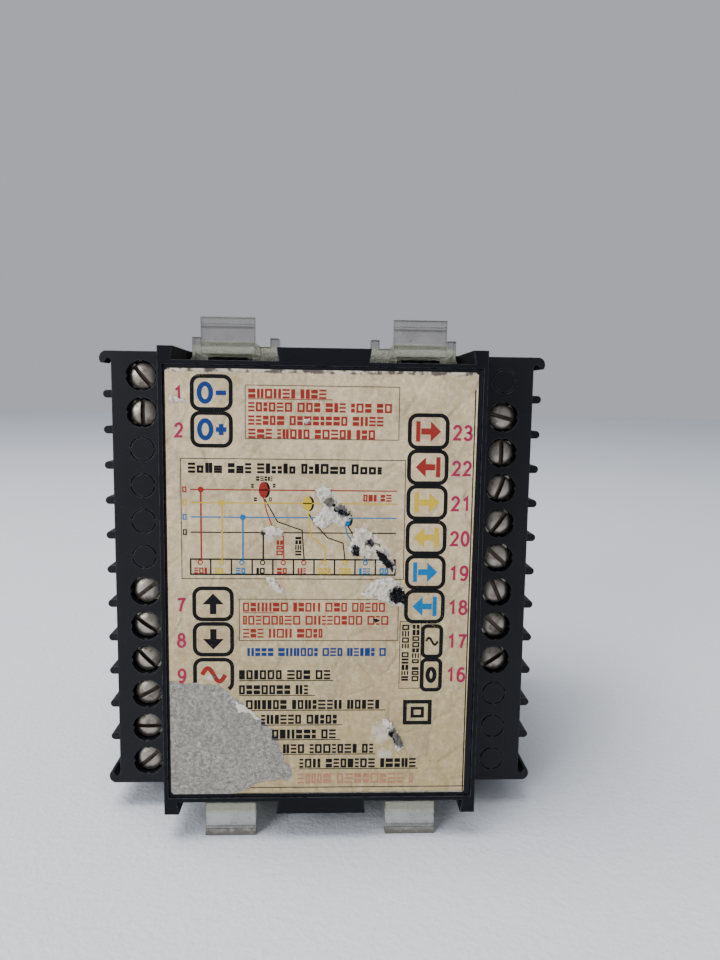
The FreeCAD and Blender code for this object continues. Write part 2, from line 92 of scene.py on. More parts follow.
class Finish:
    """One material, on object coordinates in millimetres."""

    def __init__(self, name, **constants):
        self.material = bpy.data.materials.new(name)
        self.material.use_nodes = True
        self.tree = self.material.node_tree
        self.shader = self.tree.nodes["Principled BSDF"]
        for socket, value in constants.items():
            title = socket.replace("_", " ").title().replace("Ior", "IOR")
            self.shader.inputs[title].default_value = value
        place = self.node("TexCoord", output="Object")
        self.place = self.node("VectorMath", {"operation": "SCALE"}, {0: place, "Scale": 1 / MM})
        self.x, self.y, self.z = (self.node("SeparateXYZ", {}, {0: self.place}, axis)
                                  for axis in "XYZ")

    def node(self, kind, settings=None, inputs=None, output=0):
        """Adds a node of any kind: its settings first, then the values or links of its sockets."""
        node = self.tree.nodes.new("ShaderNode" + kind)
        for setting, value in (settings or {}).items():
            setattr(node, setting, value)
        for key, value in (inputs or {}).items():
            if isinstance(value, Value):
                self.tree.links.new(value.socket, node.inputs[key])
            else:
                node.inputs[key].default_value = value
        return Value(self, node.outputs[output])

    def noise(self, size, detail=3.0, roughness=0.55, stretch=(1, 1, 1), warp=0.0):
        """Cloudy noise from 0 to 1, whose lumps are about this many millimetres."""
        place = self.node("VectorMath", {"operation": "MULTIPLY"}, {0: self.place, 1: stretch})
        inputs = {"Vector": place, "Scale": 1 / size, "Detail": detail,
                  "Roughness": roughness, "Distortion": warp}
        return self.node("TexNoise", {}, inputs)

    def cells(self, size, feature="F1", stretch=(1, 1, 1)):
        place = self.node("VectorMath", {"operation": "MULTIPLY"}, {0: self.place, 1: stretch})
        return self.node("TexVoronoi", {"feature": feature}, {"Vector": place, "Scale": 1 / size},
                         "Distance")

    def step(self, value, low, high):
        """0 below low, 1 above high, smooth between; the other way round if low is the larger."""
        inputs = {0: value, 1: low, 2: high, 3: 0.0, 4: 1.0}
        if low > high:
            inputs = {0: value, 1: high, 2: low, 3: 1.0, 4: 0.0}
        return self.node("MapRange", {"interpolation_type": "SMOOTHSTEP"}, inputs)

    def mix(self, factor, first, second):
        """A colour between two, by the factor."""
        inputs = {0: factor, 6: self.colour(first), 7: self.colour(second)}
        return self.node("Mix", {"data_type": "RGBA"}, inputs, 2)

    @staticmethod
    def colour(value):
        return value if isinstance(value, Value) else (*value, 1.0)

    def drive(self, **sockets):
        """Links values to the shader's sockets, and returns the finish."""
        for socket, value in sockets.items():
            self.tree.links.new(value.socket, self.shader.inputs[socket.replace("_", " ").title()])
        return self

    def bump(self, height, distance, edge=0.0):
        """Surface relief in millimetres, over edges rounded by the given radius."""
        inputs = {"Height": height, "Distance": distance * MM, "Strength": 1.0}
        if edge:
            inputs["Normal"] = self.rounded(edge)
        return self.drive(Normal=self.node("Bump", {}, inputs))

    def rounded(self, radius):
        """The surface's direction with every edge rounded by a radius in millimetres."""
        return self.node("Bevel", {"samples": 4}, {"Radius": radius * MM})

    def edges(self, radius):
        """1 along the edges and in the corners, 0 on open faces."""
        flat = self.node("NewGeometry", {}, {}, "Normal")
        agree = self.node("VectorMath", {"operation": "DOT_PRODUCT"},
                          {0: flat, 1: self.rounded(radius)}, "Value")
        return self.step(agree, 0.985, 0.90)

    def upward(self):
        """1 on faces that look up, 0 on the others."""
        normal = self.node("NewGeometry", {}, {}, "Normal")
        up = self.node("SeparateXYZ", {}, {0: normal}, "Z")
        return self.step(up, 0.3, 0.95)


def moulded_plastic(name, colour, rough=0.42, dust=0.5, grain=0.05, gloss=0.13):
    """Satin moulded plastic: fine grain, flow clouds, handling marks, rubbed edges and dust."""
    finish = Finish(name, specular_ior_level=gloss)
    cloud = finish.noise(9.0, 4.0)
    scuffs = finish.step(finish.noise(2.2, 5.0, 0.7, (1, 1, 5)), 0.62, 0.8)
    specks = finish.step(finish.cells(0.9), 0.16, 0.05) * finish.step(finish.noise(3.5), 0.5, 0.62)
    settled = finish.upward() * finish.step(finish.noise(0.5, 6.0, 0.75), 0.25, 0.85) * dust
    veil = finish.step(finish.noise(14.0, 4.0, 0.6), 0.4, 0.8) * (0.03 * dust)
    worn = finish.edges(0.25) * finish.step(finish.noise(1.1, 4.0, 0.6), 0.30, 0.60)
    grey = (0.20, 0.21, 0.235)
    lighter = tuple(min(1.0, c * 1.5 + 0.002) for c in colour)
    base = finish.mix(cloud, colour, lighter)
    base = finish.mix((settled * 0.16 | veil | specks * 0.3 * dust | scuffs * 0.03 | worn * 0.34),
                      base, grey)
    finish.drive(Base_Color=base, Roughness=rough + cloud * 0.12 + settled * 0.3 + scuffs * 0.12)
    return finish.bump(finish.noise(0.22, 2.0) + scuffs * 0.4, grain * 0.3, edge=0.18)


def cast_metal(name, colour, dark, rough=0.3, size=0.8, shade_below=None):
    """Plated steel that has dulled: brown bloom, fine turning lines, painted shade below a given
    depth.
    """
    finish = Finish(name, metallic=1.0)
    bloom = finish.step(finish.noise(size * 2.6, 4.0, 0.6), 0.42, 0.72)
    pits = finish.step(finish.cells(0.35), 0.12, 0.03) * finish.step(finish.noise(1.7), 0.45, 0.6)
    lines = finish.noise(0.5, 3.0, 0.5, (1, 12, 1))
    worn = bloom * 0.8 | pits | finish.edges(0.2) * 0.5
    base = finish.mix(worn, colour, dark)
    if shade_below:
        # Painted shade: below the given depth, where the screws sit in their holes, the metal is
        # painted almost black.
        recess_shade = finish.step(finish.y, shade_below, shade_below - 0.25)
        base = finish.mix(recess_shade * 0.9, base, (0.035, 0.026, 0.02))
    finish.drive(Base_Color=base, Roughness=rough + bloom * 0.28 + lines * 0.1)
    return finish.bump(lines * 0.5 - pits * 2.0 + finish.noise(0.3, 4.0), 0.02, edge=0.12)


def clear_plastic(name, tab, clearness):
    """Clear plastic: greenish where thick, hazed by handling, browner on the lower lips, with
    painted shade on lips and edges.
    """
    finish = Finish(name, transmission_weight=clearness, ior=1.49)
    haze = finish.noise(2.5, 4.0, 0.6)
    far = finish.node("Math", {"operation": "ABSOLUTE"}, {0: finish.z})
    lip = finish.step(far, 48.6, 48.8)
    # Brown patches all over, made more likely on the lower clips' lips.
    brown_patches = finish.step(finish.noise(0.8, 5.0, 0.65) + finish.step(finish.z, -48.6, -50.0) * 0.32,
                        0.58, 0.76)
    rims = (finish.step(far, 50.05, 50.25)
            | finish.step(far, 48.9, 48.7) * finish.step(far, 48.3, 48.5))
    clip_edges = finish.edges(0.4)
    base = finish.mix(finish.step(haze, 0.35, 0.65), tab, tuple(c * 0.84 for c in tab))
    # Painted shade: the lip is painted greyer, and its end, its bend and the hazed edges are
    # painted dark, for the shade that the clear plastic shows there.
    base = finish.mix(lip * 0.45, base, (0.62, 0.62, 0.56))
    base = finish.mix(finish.step(far, 46.3, 45.8), base, (0.86, 0.865, 0.68))
    painted_edge_shade = clip_edges * finish.step(haze, 0.25, 0.5) * 0.85 | rims * 0.7
    base = finish.mix(painted_edge_shade, base, (0.16, 0.155, 0.135))
    base = finish.mix(brown_patches * 0.85, base, (0.26, 0.22, 0.17))
    finish.drive(Base_Color=base, Roughness=0.10 + haze * 0.15 + clip_edges * 0.25 + brown_patches * 0.4)
    return finish.bump(finish.noise(1.6, 3.0), 0.03, edge=0.15)


def smoked_plastic():
    finish = Finish("smoked_window", transmission_weight=0.92, ior=1.49,
                    base_color=(0.44, 0.39, 0.39, 1.0), coat_weight=0.2)
    wipe = finish.step(finish.noise(3.0, 5.0, 0.6, (0.25, 1, 1)), 0.45, 0.8)
    finish.drive(Roughness=0.03 + wipe * 0.10)
    return finish.bump(finish.noise(18.0, 2.0), 0.02, edge=0.15)


def solder_resist():
    """Green board with darker tracks under the resist and a slight weave."""
    finish = Finish("circuit_board", ior=1.5, coat_weight=0.4)
    tracks = finish.step(finish.cells(3.4, "DISTANCE_TO_EDGE", (1, 0.01, 1)), 0.05, 0.08)
    weave = finish.noise(0.6, 2.0, 0.5, (1, 0.2, 1))
    base = finish.mix(tracks, (0.012, 0.10, 0.045), (0.020, 0.17, 0.07))
    finish.drive(Base_Color=base, Roughness=0.28 + weave * 0.15)
    return finish.bump(tracks * 0.6 + weave * 0.3, 0.04)


def moulded_part(name, colour, rough, size=0.25):
    """Small moulded component: fine matt grain and a little bloom."""
    finish = Finish(name)
    cloud = finish.noise(size * 10, 4.0)
    base = finish.mix(cloud, colour, tuple(min(1.0, c * 1.5 + 0.01) for c in colour))
    finish.drive(Base_Color=base, Roughness=rough + cloud * 0.15)
    return finish.bump(finish.noise(size, 2.0), 0.015, edge=0.1)


# --------------------------------------------------- the label's damage

# Places on the label are (right, up) from its middle, as it is read.
# A smudge is (right, up, half width, half height, turn in degrees).
SMUDGES = ((11.6, -28.5, 2.4, 3.2, -15), (12.5, -33.0, 2.0, 1.6, 0), (-21.0, -17.4, 3.0, 1.0, 0),
           (2.2, 16.2, 4.2, 2.4, -48), (10.0, 7.4, 6.4, 3.2, -48), (11.8, -0.4, 5.0, 2.8, 0),
           (-9.0, 0.6, 2.2, 1.6, -40), (-10.4, 10.5, 2.6, 1.5, -35), (-3.3, 31.6, 1.3, 0.9, 0))
PEEL_RIM = ((-16.6, -22.0), (-14.5, -23.0), (-12.4, -24.9), (-11.6, -26.2), (-12.6, -26.0),
            (-13.4, -25.0), (-15.0, -24.3), (-15.8, -24.6), (-16.4, -23.6))
PALE_TEARS = (
    ((-1.6, 18.8), (0.0, 19.8), (1.7, 19.1), (1.9, 17.6), (3.8, 16.0), (5.1, 15.1), (5.4, 13.7),
     (4.2, 12.2), (2.8, 12.2), (1.7, 12.6), (0.7, 11.6), (-1.4, 11.9), (-2.2, 13.0), (-0.8, 14.4),
     (-0.2, 15.7), (-1.2, 17.2)),
    ((4.7, 8.1), (5.2, 9.2), (6.1, 11.7), (7.8, 11.9), (9.2, 10.9), (9.7, 8.8), (11.4, 8.0),
     (13.1, 6.1), (14.1, 4.3), (13.6, 3.2), (12.0, 5.0), (10.4, 6.5), (9.5, 7.1), (8.9, 5.6),
     (7.2, 6.4), (6.0, 6.0), (4.9, 7.1)),
    ((7.3, -1.1), (9.2, 1.5), (11.1, 2.4), (13.2, 2.3), (15.3, 0.9), (15.8, -1.7), (15.4, -3.2),
     (13.3, -3.2), (11.4, -2.4), (9.9, -1.6), (8.2, -2.0)),
    ((-10.9, 2.3), (-9.3, 2.4), (-8.6, 1.4), (-7.4, 0.0), (-7.2, -1.1), (-8.4, -0.7), (-9.9, 0.2)),
    ((-11.4, 11.6), (-9.7, 12.1), (-7.4, 11.3), (-7.4, 10.1), (-9.3, 10.0), (-10.9, 10.4)),
    ((-4.0, 32.2), (-2.8, 32.1), (-2.8, 31.1), (-3.9, 31.3)),
    ((-28.7, 35.3), (-27.9, 36.2), (-26.9, 35.9), (-25.4, 35.6), (-24.9, 34.9), (-27.7, 34.6)),
    PEEL_RIM,
    ((11.4, -25.4), (13.7, -26.3), (15.6, -29.6), (16.3, -31.6), (14.8, -32.6), (13.4, -29.8)))
DARK_TEARS = (
    ((1.3, 16.5), (2.4, 16.6), (2.8, 15.6), (3.9, 15.8), (5.2, 14.7), (5.1, 13.5), (3.8, 13.7),
     (2.2, 14.3), (1.6, 15.1)),
    ((5.0, 8.3), (6.8, 8.8), (7.4, 7.3), (6.9, 5.9), (5.6, 6.3)),
    ((7.9, 9.8), (9.2, 9.9), (9.9, 8.3), (11.8, 7.3), (14.0, 4.6), (13.2, 3.3), (11.3, 4.8),
     (10.1, 6.6), (8.9, 8.0), (7.9, 8.5)),
    ((13.1, 0.8), (15.0, 0.8), (15.9, -1.1), (15.6, -3.0), (13.7, -3.1), (12.4, -2.2),
     (12.6, -0.3)),
    ((9.6, -5.6), (10.9, -5.8), (10.8, -6.6), (9.7, -6.4)),
    ((12.4, -27.0), (13.6, -27.6), (15.0, -30.6), (14.2, -31.0), (13.0, -29.0)))


def near(finish, spots):
    """A field that is 1 in the middle of each spot and falls to 0 at its edge and below beyond."""
    field = None
    for right, up, half_w, half_h, turn in spots:
        mapping = {"Vector": finish.place, "Location": (right, 0.0, -up),
                   "Rotation": (0.0, 0.0, 0.0), "Scale": (1.0, 0.0, 1.0)}
        moved = finish.node("Mapping", {"vector_type": "POINT"}, mapping)
        mapping = {"Vector": moved, "Rotation": (0.0, radians(-turn), 0.0),
                   "Scale": (1.0, 0.0, 1.0)}
        turned = finish.node("Mapping", {"vector_type": "POINT"}, mapping)
        scaled = finish.node("VectorMath", {"operation": "MULTIPLY"},
                             {0: turned, 1: (1 / half_w, 0.0, 1 / half_h)})
        reach = 1 - finish.node("VectorMath", {"operation": "LENGTH"}, {0: scaled}, "Value")
        field = reach if field is None else field | reach
    return field


def rubbed(finish):
    """0 to 1, how far the ink is worn off."""
    fine = finish.noise(0.35, 4.0, 0.7)
    broad = finish.noise(6.0, 3.0)
    smudge = finish.step(near(finish, SMUDGES) + (finish.noise(0.9, 4.0) - 0.5) * 1.8, 0.25, 0.6)
    edge = finish.step(finish.z, LABEL_HALF_H - 2.5, LABEL_HALF_H)
    wear = finish.step(fine + broad * 0.35 + edge * 0.2, 0.76, 0.9)
    return wear | smudge * finish.step(fine, 0.3, 0.55)


def printed_paper():
    """Cream coated paper, yellowed downwards, with foxing, wrinkles, scuffs and soiling."""
    finish = Finish("label_paper", specular_ior_level=0.18)
    down = finish.step(finish.z, 30.0, -42.0)
    cloud = finish.noise(8.0, 5.0, 0.6)
    mottle = finish.noise(1.2, 5.0, 0.65)
    fine = finish.noise(0.25, 3.0, 0.6)
    cream = finish.mix(down, (0.645, 0.500, 0.300), (0.450, 0.350, 0.170))
    cream = finish.mix(finish.step(cloud, 0.40, 0.66) * 0.62, cream, (0.385, 0.295, 0.165))
    cream = finish.mix(finish.step(mottle, 0.46, 0.62) * (0.42 - down * 0.20),
                       cream, (0.76, 0.65, 0.46))
    specks = finish.step(finish.cells(1.5), 0.10, 0.03) * finish.step(finish.noise(2.6), 0.48, 0.6)
    scuffs = finish.step(finish.noise(0.9, 5.0, 0.7, (1, 1, 3), 0.8), 0.56, 0.68)
    bruise = finish.step(finish.noise(2.8, 5.0, 0.75, warp=1.2), 0.56, 0.66)
    cream = finish.mix(bruise * 0.42, cream, (0.33, 0.26, 0.165))
    cream = finish.mix(scuffs * 0.34, cream, (0.34, 0.285, 0.21))
    cream = finish.mix(specks * 0.7, cream, (0.14, 0.11, 0.08))
    smudge = finish.step(near(finish, SMUDGES) + (mottle - 0.5) * 1.5, 0.1, 0.7)
    cream = finish.mix(smudge * 0.5, cream, (0.72, 0.69, 0.62))
    rim = finish.step(finish.z, LABEL_HALF_H - 1.2, LABEL_HALF_H - 0.2)
    rim = finish.step(rim + (finish.noise(0.9, 5.0, 0.7) - 0.5) * 1.6, 0.45, 0.75)
    rim_dark = rim * finish.step(finish.noise(1.6, 3.0), 0.44, 0.60)
    cream = finish.mix(rim * 0.5, cream, (0.70, 0.66, 0.58))
    cream = finish.mix(rim_dark * 0.9, cream, (0.06, 0.05, 0.045))
    finish.drive(Base_Color=cream, Roughness=0.42 + mottle * 0.2)
    creases = finish.noise(5.0, 3.0, 0.5, warp=1.4)
    ridges = finish.step(finish.cells(7.0, "DISTANCE_TO_EDGE"), 0.0, 0.10)
    relief = creases * 3.2 + ridges * 0.7 + mottle * 0.55 + fine * 0.12 + scuffs * 0.15 + rim * 0.4
    return finish.bump(relief, 0.21)


# Dark places inside the torn fibre, given as the smudges are.
SOOT = ((1.2, 16.6, 1.5, 1.4, 0), (3.6, 15.0, 2.2, 1.3, -40), (6.2, 7.4, 1.3, 1.5, 0),
        (8.8, 8.9, 1.2, 1.0, -30), (12.0, 5.6, 2.6, 1.2, -50), (14.0, -1.0, 1.9, 2.2, 0),
        (14.6, -29.5, 3.8, 1.3, -62))


def torn_fibre():
    """White paper fibre, crumpled, greyed and pulled up."""
    finish = Finish("torn_fibre", specular_ior_level=0.1, roughness=0.9)
    soot = finish.step(finish.noise(0.9, 5.0, 0.7, warp=0.5), 0.50, 0.62)
    fibres = finish.noise(0.25, 5.0, 0.75)
    cream = finish.step(finish.noise(2.2, 3.0), 0.36, 0.52)
    base = finish.mix(cream, (0.66, 0.655, 0.64), (0.66, 0.57, 0.41))
    base = finish.mix(fibres * 0.8, base, (0.84, 0.81, 0.75))
    core = finish.step(near(finish, SOOT) + (finish.noise(0.7, 5.0, 0.7) - 0.5) * 2.2, 0.10, 0.45)
    base = finish.mix(soot * 0.45, base, (0.17, 0.165, 0.17))
    finish.drive(Base_Color=finish.mix(core * 0.85, base, (0.035, 0.035, 0.04)))
    return finish.bump(fibres, 0.12)


def charred(name):
    """Black adhesive under the torn print, with grey fibres left in it."""
    finish = Finish(name, specular_ior_level=0.08)
    fibres = finish.step(finish.noise(0.5, 5.0, 0.7), 0.56, 0.70)
    finish.drive(Base_Color=finish.mix(fibres * 0.5, (0.006, 0.006, 0.008), (0.32, 0.31, 0.30)),
                 Roughness=0.6 + fibres * 0.3)
    return finish.bump(finish.noise(0.3, 4.0, 0.7), 0.10)


def torn_backing():
    """Grey fibrous layer that stays where the print has peeled away."""
    finish = Finish("label_backing", specular_ior_level=0.1)
    fibres = finish.noise(0.5, 5.0, 0.7, (1, 1, 2.2), 0.8)
    felt = finish.noise(0.18, 3.0, 0.6)
    tufts = finish.noise(0.75, 6.0, 0.8, warp=0.5)
    blotch = finish.noise(5.0, 4.0, 0.6)
    base = finish.mix(finish.step(fibres, 0.35, 0.7), (0.31, 0.29, 0.255), (0.56, 0.525, 0.46))
    base = finish.mix(finish.step(tufts, 0.47, 0.58) * 0.7, base, (0.165, 0.155, 0.14))
    base = finish.mix(finish.step(tufts, 0.46, 0.34) * 0.7, base, (0.70, 0.665, 0.60))
    base = finish.mix(finish.step(blotch, 0.42, 0.62) * 0.35, base, (0.27, 0.25, 0.22))
    base = finish.mix(finish.step(finish.cells(1.9), 0.09, 0.04) * 0.6, base, (0.05, 0.05, 0.05))
    finish.drive(Base_Color=base, Roughness=0.75 + felt * 0.2)
    return finish.bump(fibres * 0.8 + tufts * 2.0 + felt * 0.5, 0.22)


def ink(name, colour):
    """Printed ink, rubbed thin in places."""
    finish = Finish(name, specular_ior_level=0.06)
    fade = finish.noise(5.0, 4.0)
    pale = tuple(c * 0.9 + 0.03 for c in colour)
    finish.drive(Base_Color=finish.mix(fade * 0.3, colour, pale),
                 Roughness=0.50 + fade * 0.15, Alpha=1 - rubbed(finish) * 0.8)
    return finish


# ---------------------------------------------------------- mesh pieces

def place_piece(bm, name, finish, body="root", smooth=False):
    """Makes a piece of a finished bmesh that is already in place, in metres."""
    mesh = bpy.data.meshes.new(name)
    bm.to_mesh(mesh)
    bm.free()
    if smooth:
        mesh.shade_smooth()
    mesh.materials.append(finish.material)
    piece = bpy.data.objects.new(name, mesh)
    bpy.context.scene.collection.objects.link(piece)
    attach(piece, body)
    return piece


def lift(bm):
    """Raises each new shape by one of seven hair's breadths, so that neighbours share no plane."""
    return Matrix.Translation((0, 0, 0.0006 * (len(bm.faces) % 7)))


def tile(bm, right, up, width, height, corner=0.0, line=0.0, turn=0.0):
    """A flat rectangle, with round corners, or only its outline of a given line width."""
    matrix = (lift(bm) @ Matrix.Translation((right, up, 0)) @ Matrix.Rotation(turn, 4, "Z")
              @ Matrix.Diagonal((width, height, 1, 1)))
    corners = bmesh.ops.create_grid(bm, x_segments=1, y_segments=1, size=0.5,
                                    matrix=matrix)["verts"]
    if corner:
        corners = bmesh.ops.bevel(bm, geom=corners, offset=corner, affect="VERTICES", segments=6,
                                  profile=0.5, material=-1)["verts"]
    if line:
        hollow_out(bm, corners[0].link_faces[0], line)


def disc(bm, right, up, half_w, half_h=None, sides=24, line=0.0):
    matrix = (lift(bm) @ Matrix.Translation((right, up, 0))
              @ Matrix.Diagonal((half_w, half_h or half_w, 1, 1)))
    ring = bmesh.ops.create_circle(bm, cap_ends=True, radius=1.0, segments=sides, matrix=matrix)
    if line:
        hollow_out(bm, ring["verts"][0].link_faces[0], line)


def hollow_out(bm, face, line):
    """Leaves only a line of a given width along a face's border."""
    bmesh.ops.inset_region(bm, faces=[face], thickness=line, use_boundary=True,
                           use_even_offset=True)
    bmesh.ops.delete(bm, geom=[face], context="FACES")


def ribbon(bm, points, width, closed=False):
    """A line of even width through points, with mitred corners."""
    count, half = len(points), width / 2
    place = lift(bm)
    pairs = []
    for i, (x, y) in enumerate(points):
        before = points[i - 1] if i or closed else None
        after = points[(i + 1) % count] if i + 1 < count or closed else None
        ways = [Vector((b[0] - a[0], b[1] - a[1])).normalized()
                for a, b in ((before, (x, y)), ((x, y), after)) if a and b]
        normals = [Vector((-way.y, way.x)) for way in ways]
        middle = sum(normals, Vector((0, 0))).normalized()
        side = middle * (half / max(0.5, middle.dot(normals[0])))
        pairs.append([bm.verts.new(place @ Vector((x + k * side.x, y + k * side.y, 0)))
                      for k in (-1, 1)])
    for i in range(count if closed else count - 1):
        (a, b), (c, d) = pairs[i], pairs[(i + 1) % count]
        bm.faces.new([a, c, d, b])


def arc(x, y, half_w, half_h, start, end, steps=12):
    """Points on an ellipse between two angles in degrees."""
    angles = [radians(start + (end - start) * i / steps) for i in range(steps + 1)]
    return [(x + half_w * cos(a), y + half_h * sin(a)) for a in angles]


# The middle lines of each numeral's strokes, in a cell 0.5 wide and 1 high.
SIX = [(0.47, 0.90), (0.36, 0.99), (0.22, 0.99), (0.09, 0.84), (0.02, 0.58), (0.01, 0.36)]
NUMERALS = {
    "0": (arc(0.25, 0.5, 0.24, 0.5, 0, 345, 23),),
    "1": ([(0.08, 0.74), (0.31, 0.97), (0.31, 0.0)],),
    "2": (arc(0.25, 0.72, 0.23, 0.27, 175, -35) + [(0.03, 0.04), (0.52, 0.04)],),
    "3": (arc(0.24, 0.755, 0.21, 0.235, 165, -90) + arc(0.24, 0.26, 0.25, 0.26, 90, -165)[1:],),
    "6": (SIX, arc(0.25, 0.31, 0.24, 0.31, 0, 345, 23)),
    "7": ([(0.0, 0.95), (0.50, 0.95), (0.30, 0.52), (0.18, 0.0)],),
    "8": (arc(0.25, 0.76, 0.20, 0.23, 0, 345, 23), arc(0.25, 0.27, 0.25, 0.27, 0, 345, 23)),
    "9": ([(0.5 - x, 1 - y) for x, y in SIX], arc(0.25, 0.69, 0.24, 0.31, 0, 345, 23))}


def figures(bm, text, right, up, height, bold=0.19):
    """Plain numerals, centred on a place."""
    start = right - height * (0.78 * len(text) - 0.28) / 2
    for i, sign in enumerate(text):
        for line in NUMERALS[sign]:
            points = [(start + height * (0.78 * i + x), up + height * (y - 0.5)) for x, y in line]
            ribbon(bm, points, height * bold, closed=len(line) == 24)


def words(bm, left, up, width, height, seed, turn=0.0, bold=0.30, lower=False):
    """A line of blocks that stands in for a line of text: block groups with gaps between."""
    draw = random.Random(seed)
    along, across = Vector((cos(turn), sin(turn))), Vector((-sin(turn), cos(turn)))
    start = Vector((left, up))
    used, thin = 0.0, height * bold * 0.7
    while used < width - height * 0.5:
        for place in range(draw.randint(3, 8)):
            wide = height * draw.choice((0.42, 0.6, 0.66, 0.7, 0.78))
            if used + wide > width:
                break
            tall = height * (0.74 if lower and place and draw.random() < 0.75 else 1.0)
            middle = start + along * (used + wide / 2) - across * (height - tall) / 2
            kind = draw.random()
            if kind < 0.42:
                tile(bm, *middle, wide, tall, line=thin, turn=turn)
            elif kind < 0.60:
                for shift in (-1, 1):
                    post = middle + along * shift * (wide - height * bold) / 2
                    tile(bm, *post, height * bold, tall, turn=turn)
            elif kind < 0.80:
                for shift in (-1, 0, 1):
                    bar = middle + across * shift * (tall - thin) / 2
                    tile(bm, *bar, wide, thin, turn=turn)
            else:
                for shift in (-1, 1):
                    half = middle + across * shift * tall * 0.28
                    tile(bm, *half, wide, tall * 0.42, turn=turn)
            used += wide + height * 0.15
        used += height * 0.42


INK_T, INK_STEP = 0.014, 0.005          # thickness of the first ink, and what each next one adds


def press_on(bm, name, finish, depth=INK_T, base=None):
    """Gives flat print its thickness and lays it on the label's face."""
    flat = list(bm.faces)
    made = bmesh.ops.extrude_face_region(bm, geom=flat)["geom"]
    raised = [part for part in made if isinstance(part, bmesh.types.BMVert)]
    bmesh.ops.translate(bm, vec=(0, 0, depth), verts=raised)
    base = PRINT_Y if base is None else base
    rows = ((-MM, 0, 0, 0), (0, 0, MM, base * MM), (0, MM, 0, 0), (0, 0, 0, 1))
    bmesh.ops.transform(bm, matrix=Matrix(rows), verts=bm.verts)
    bmesh.ops.recalc_face_normals(bm, faces=bm.faces)
    return place_piece(bm, name, finish)


# ------------------------------------------------------ label, two layers

BACKING_T, PRINT_T = 0.07, 0.07
TRIM = 0.85            # how far the right edge slants in, at the foot
PRINT_Y = PAPER_Y + BACKING_T + PRINT_T
PEEL = ((-29.0, -18.2), (-26.2, -18.6), (-24.0, -18.4), (-19.8, -18.9), (-17.7, -20.6),
        (-15.3, -22.2), (-14.5, -23.1), (-11.6, -25.9), (-9.5, -27.9), (-8.1, -30.1),
        (-7.6, -32.4), (-6.8, -34.4), (-5.4, -36.4), (-6.0, -38.1), (-9.5, -38.3),
        (-12.4, -38.9), (-14.3, -40.3), (-17.0, -41.1))


def ragged(points, roughness, seed):
    """The same outline with a torn edge: four small steps are put between each two points."""
    draw = random.Random(seed)
    result = []
    for (x0, y0), (x1, y1) in zip(points, points[1:]):
        for part in (0.0, 0.22, 0.45, 0.68, 0.85):
            shake = roughness if part or result else 0.0
            result.append((x0 + (x1 - x0) * part + draw.uniform(-shake, shake),
                           y0 + (y1 - y0) * part + draw.uniform(-shake, shake)))
    return result + [points[-1]]


def sheet_outline(bm, outline):
    bm.faces.new([bm.verts.new((x, y, 0)) for x, y in outline])


def make_label():
    w, h = LABEL_HALF_W - 0.02, LABEL_HALF_H - 0.02
    backing = bmesh.new()
    sheet_outline(backing, [(-w, h - 0.5), (-w + 0.5, h), (w - 0.9, h), (w - 0.4, h - 0.5),
                            (w - TRIM, -h + 0.3), (w - TRIM - 0.3, -h), (-w + 0.5, -h),
                            (-w, -h + 0.5)])
    base = press_on(backing, "label_backing", torn_backing(), BACKING_T, PAPER_Y)
    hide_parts("rating_label")
    top = bmesh.new()
    tear = ragged(PEEL, 0.28, 5)
    edge = [(-w, h - 0.5), (-w + 0.5, h), (w - 0.9, h), (w - 0.4, h - 0.5), (w - TRIM, -h + 0.3)]
    edge = ragged(edge, 0.04, 8)
    sheet_outline(top, [(-w, tear[0][1])] + edge + [(tear[-1][0], -h + 0.2)] + tear[::-1][1:-1])
    bmesh.ops.triangulate(top, faces=top.faces)
    press_on(top, "label_print_layer", printed_paper(), PRINT_T, PAPER_Y + BACKING_T)


# -------------------------------------------------------- label, printing

INKS = {"black": (0.005, 0.005, 0.006), "red": (0.28, 0.026, 0.020), "blue": (0.010, 0.042, 0.18),
        "sky": (0.012, 0.155, 0.37), "yellow": (0.60, 0.41, 0.035), "pink": (0.34, 0.020, 0.074),
        "faded": (0.42, 0.20, 0.125)}
printing = {name: bmesh.new() for name in INKS}
BOX_W, BOX_H, BOX_LINE, BOX_CORNER = 7.8, 6.75, 0.74, 1.8
SUPPLY_X, SUPPLY_W, SUPPLY_CORNER = 21.1, 4.3, 1.2      # the two narrow boxes, right below
NUMBER_H, NUMBER_DROP = 2.6, 0.2
LEFT_X, RIGHT_X, NUMBER_X = -20.6, 19.5, 25.9
TORN_LOW = -1.55                        # where the left side of the torn box ends, from its middle
ROW = 6.68


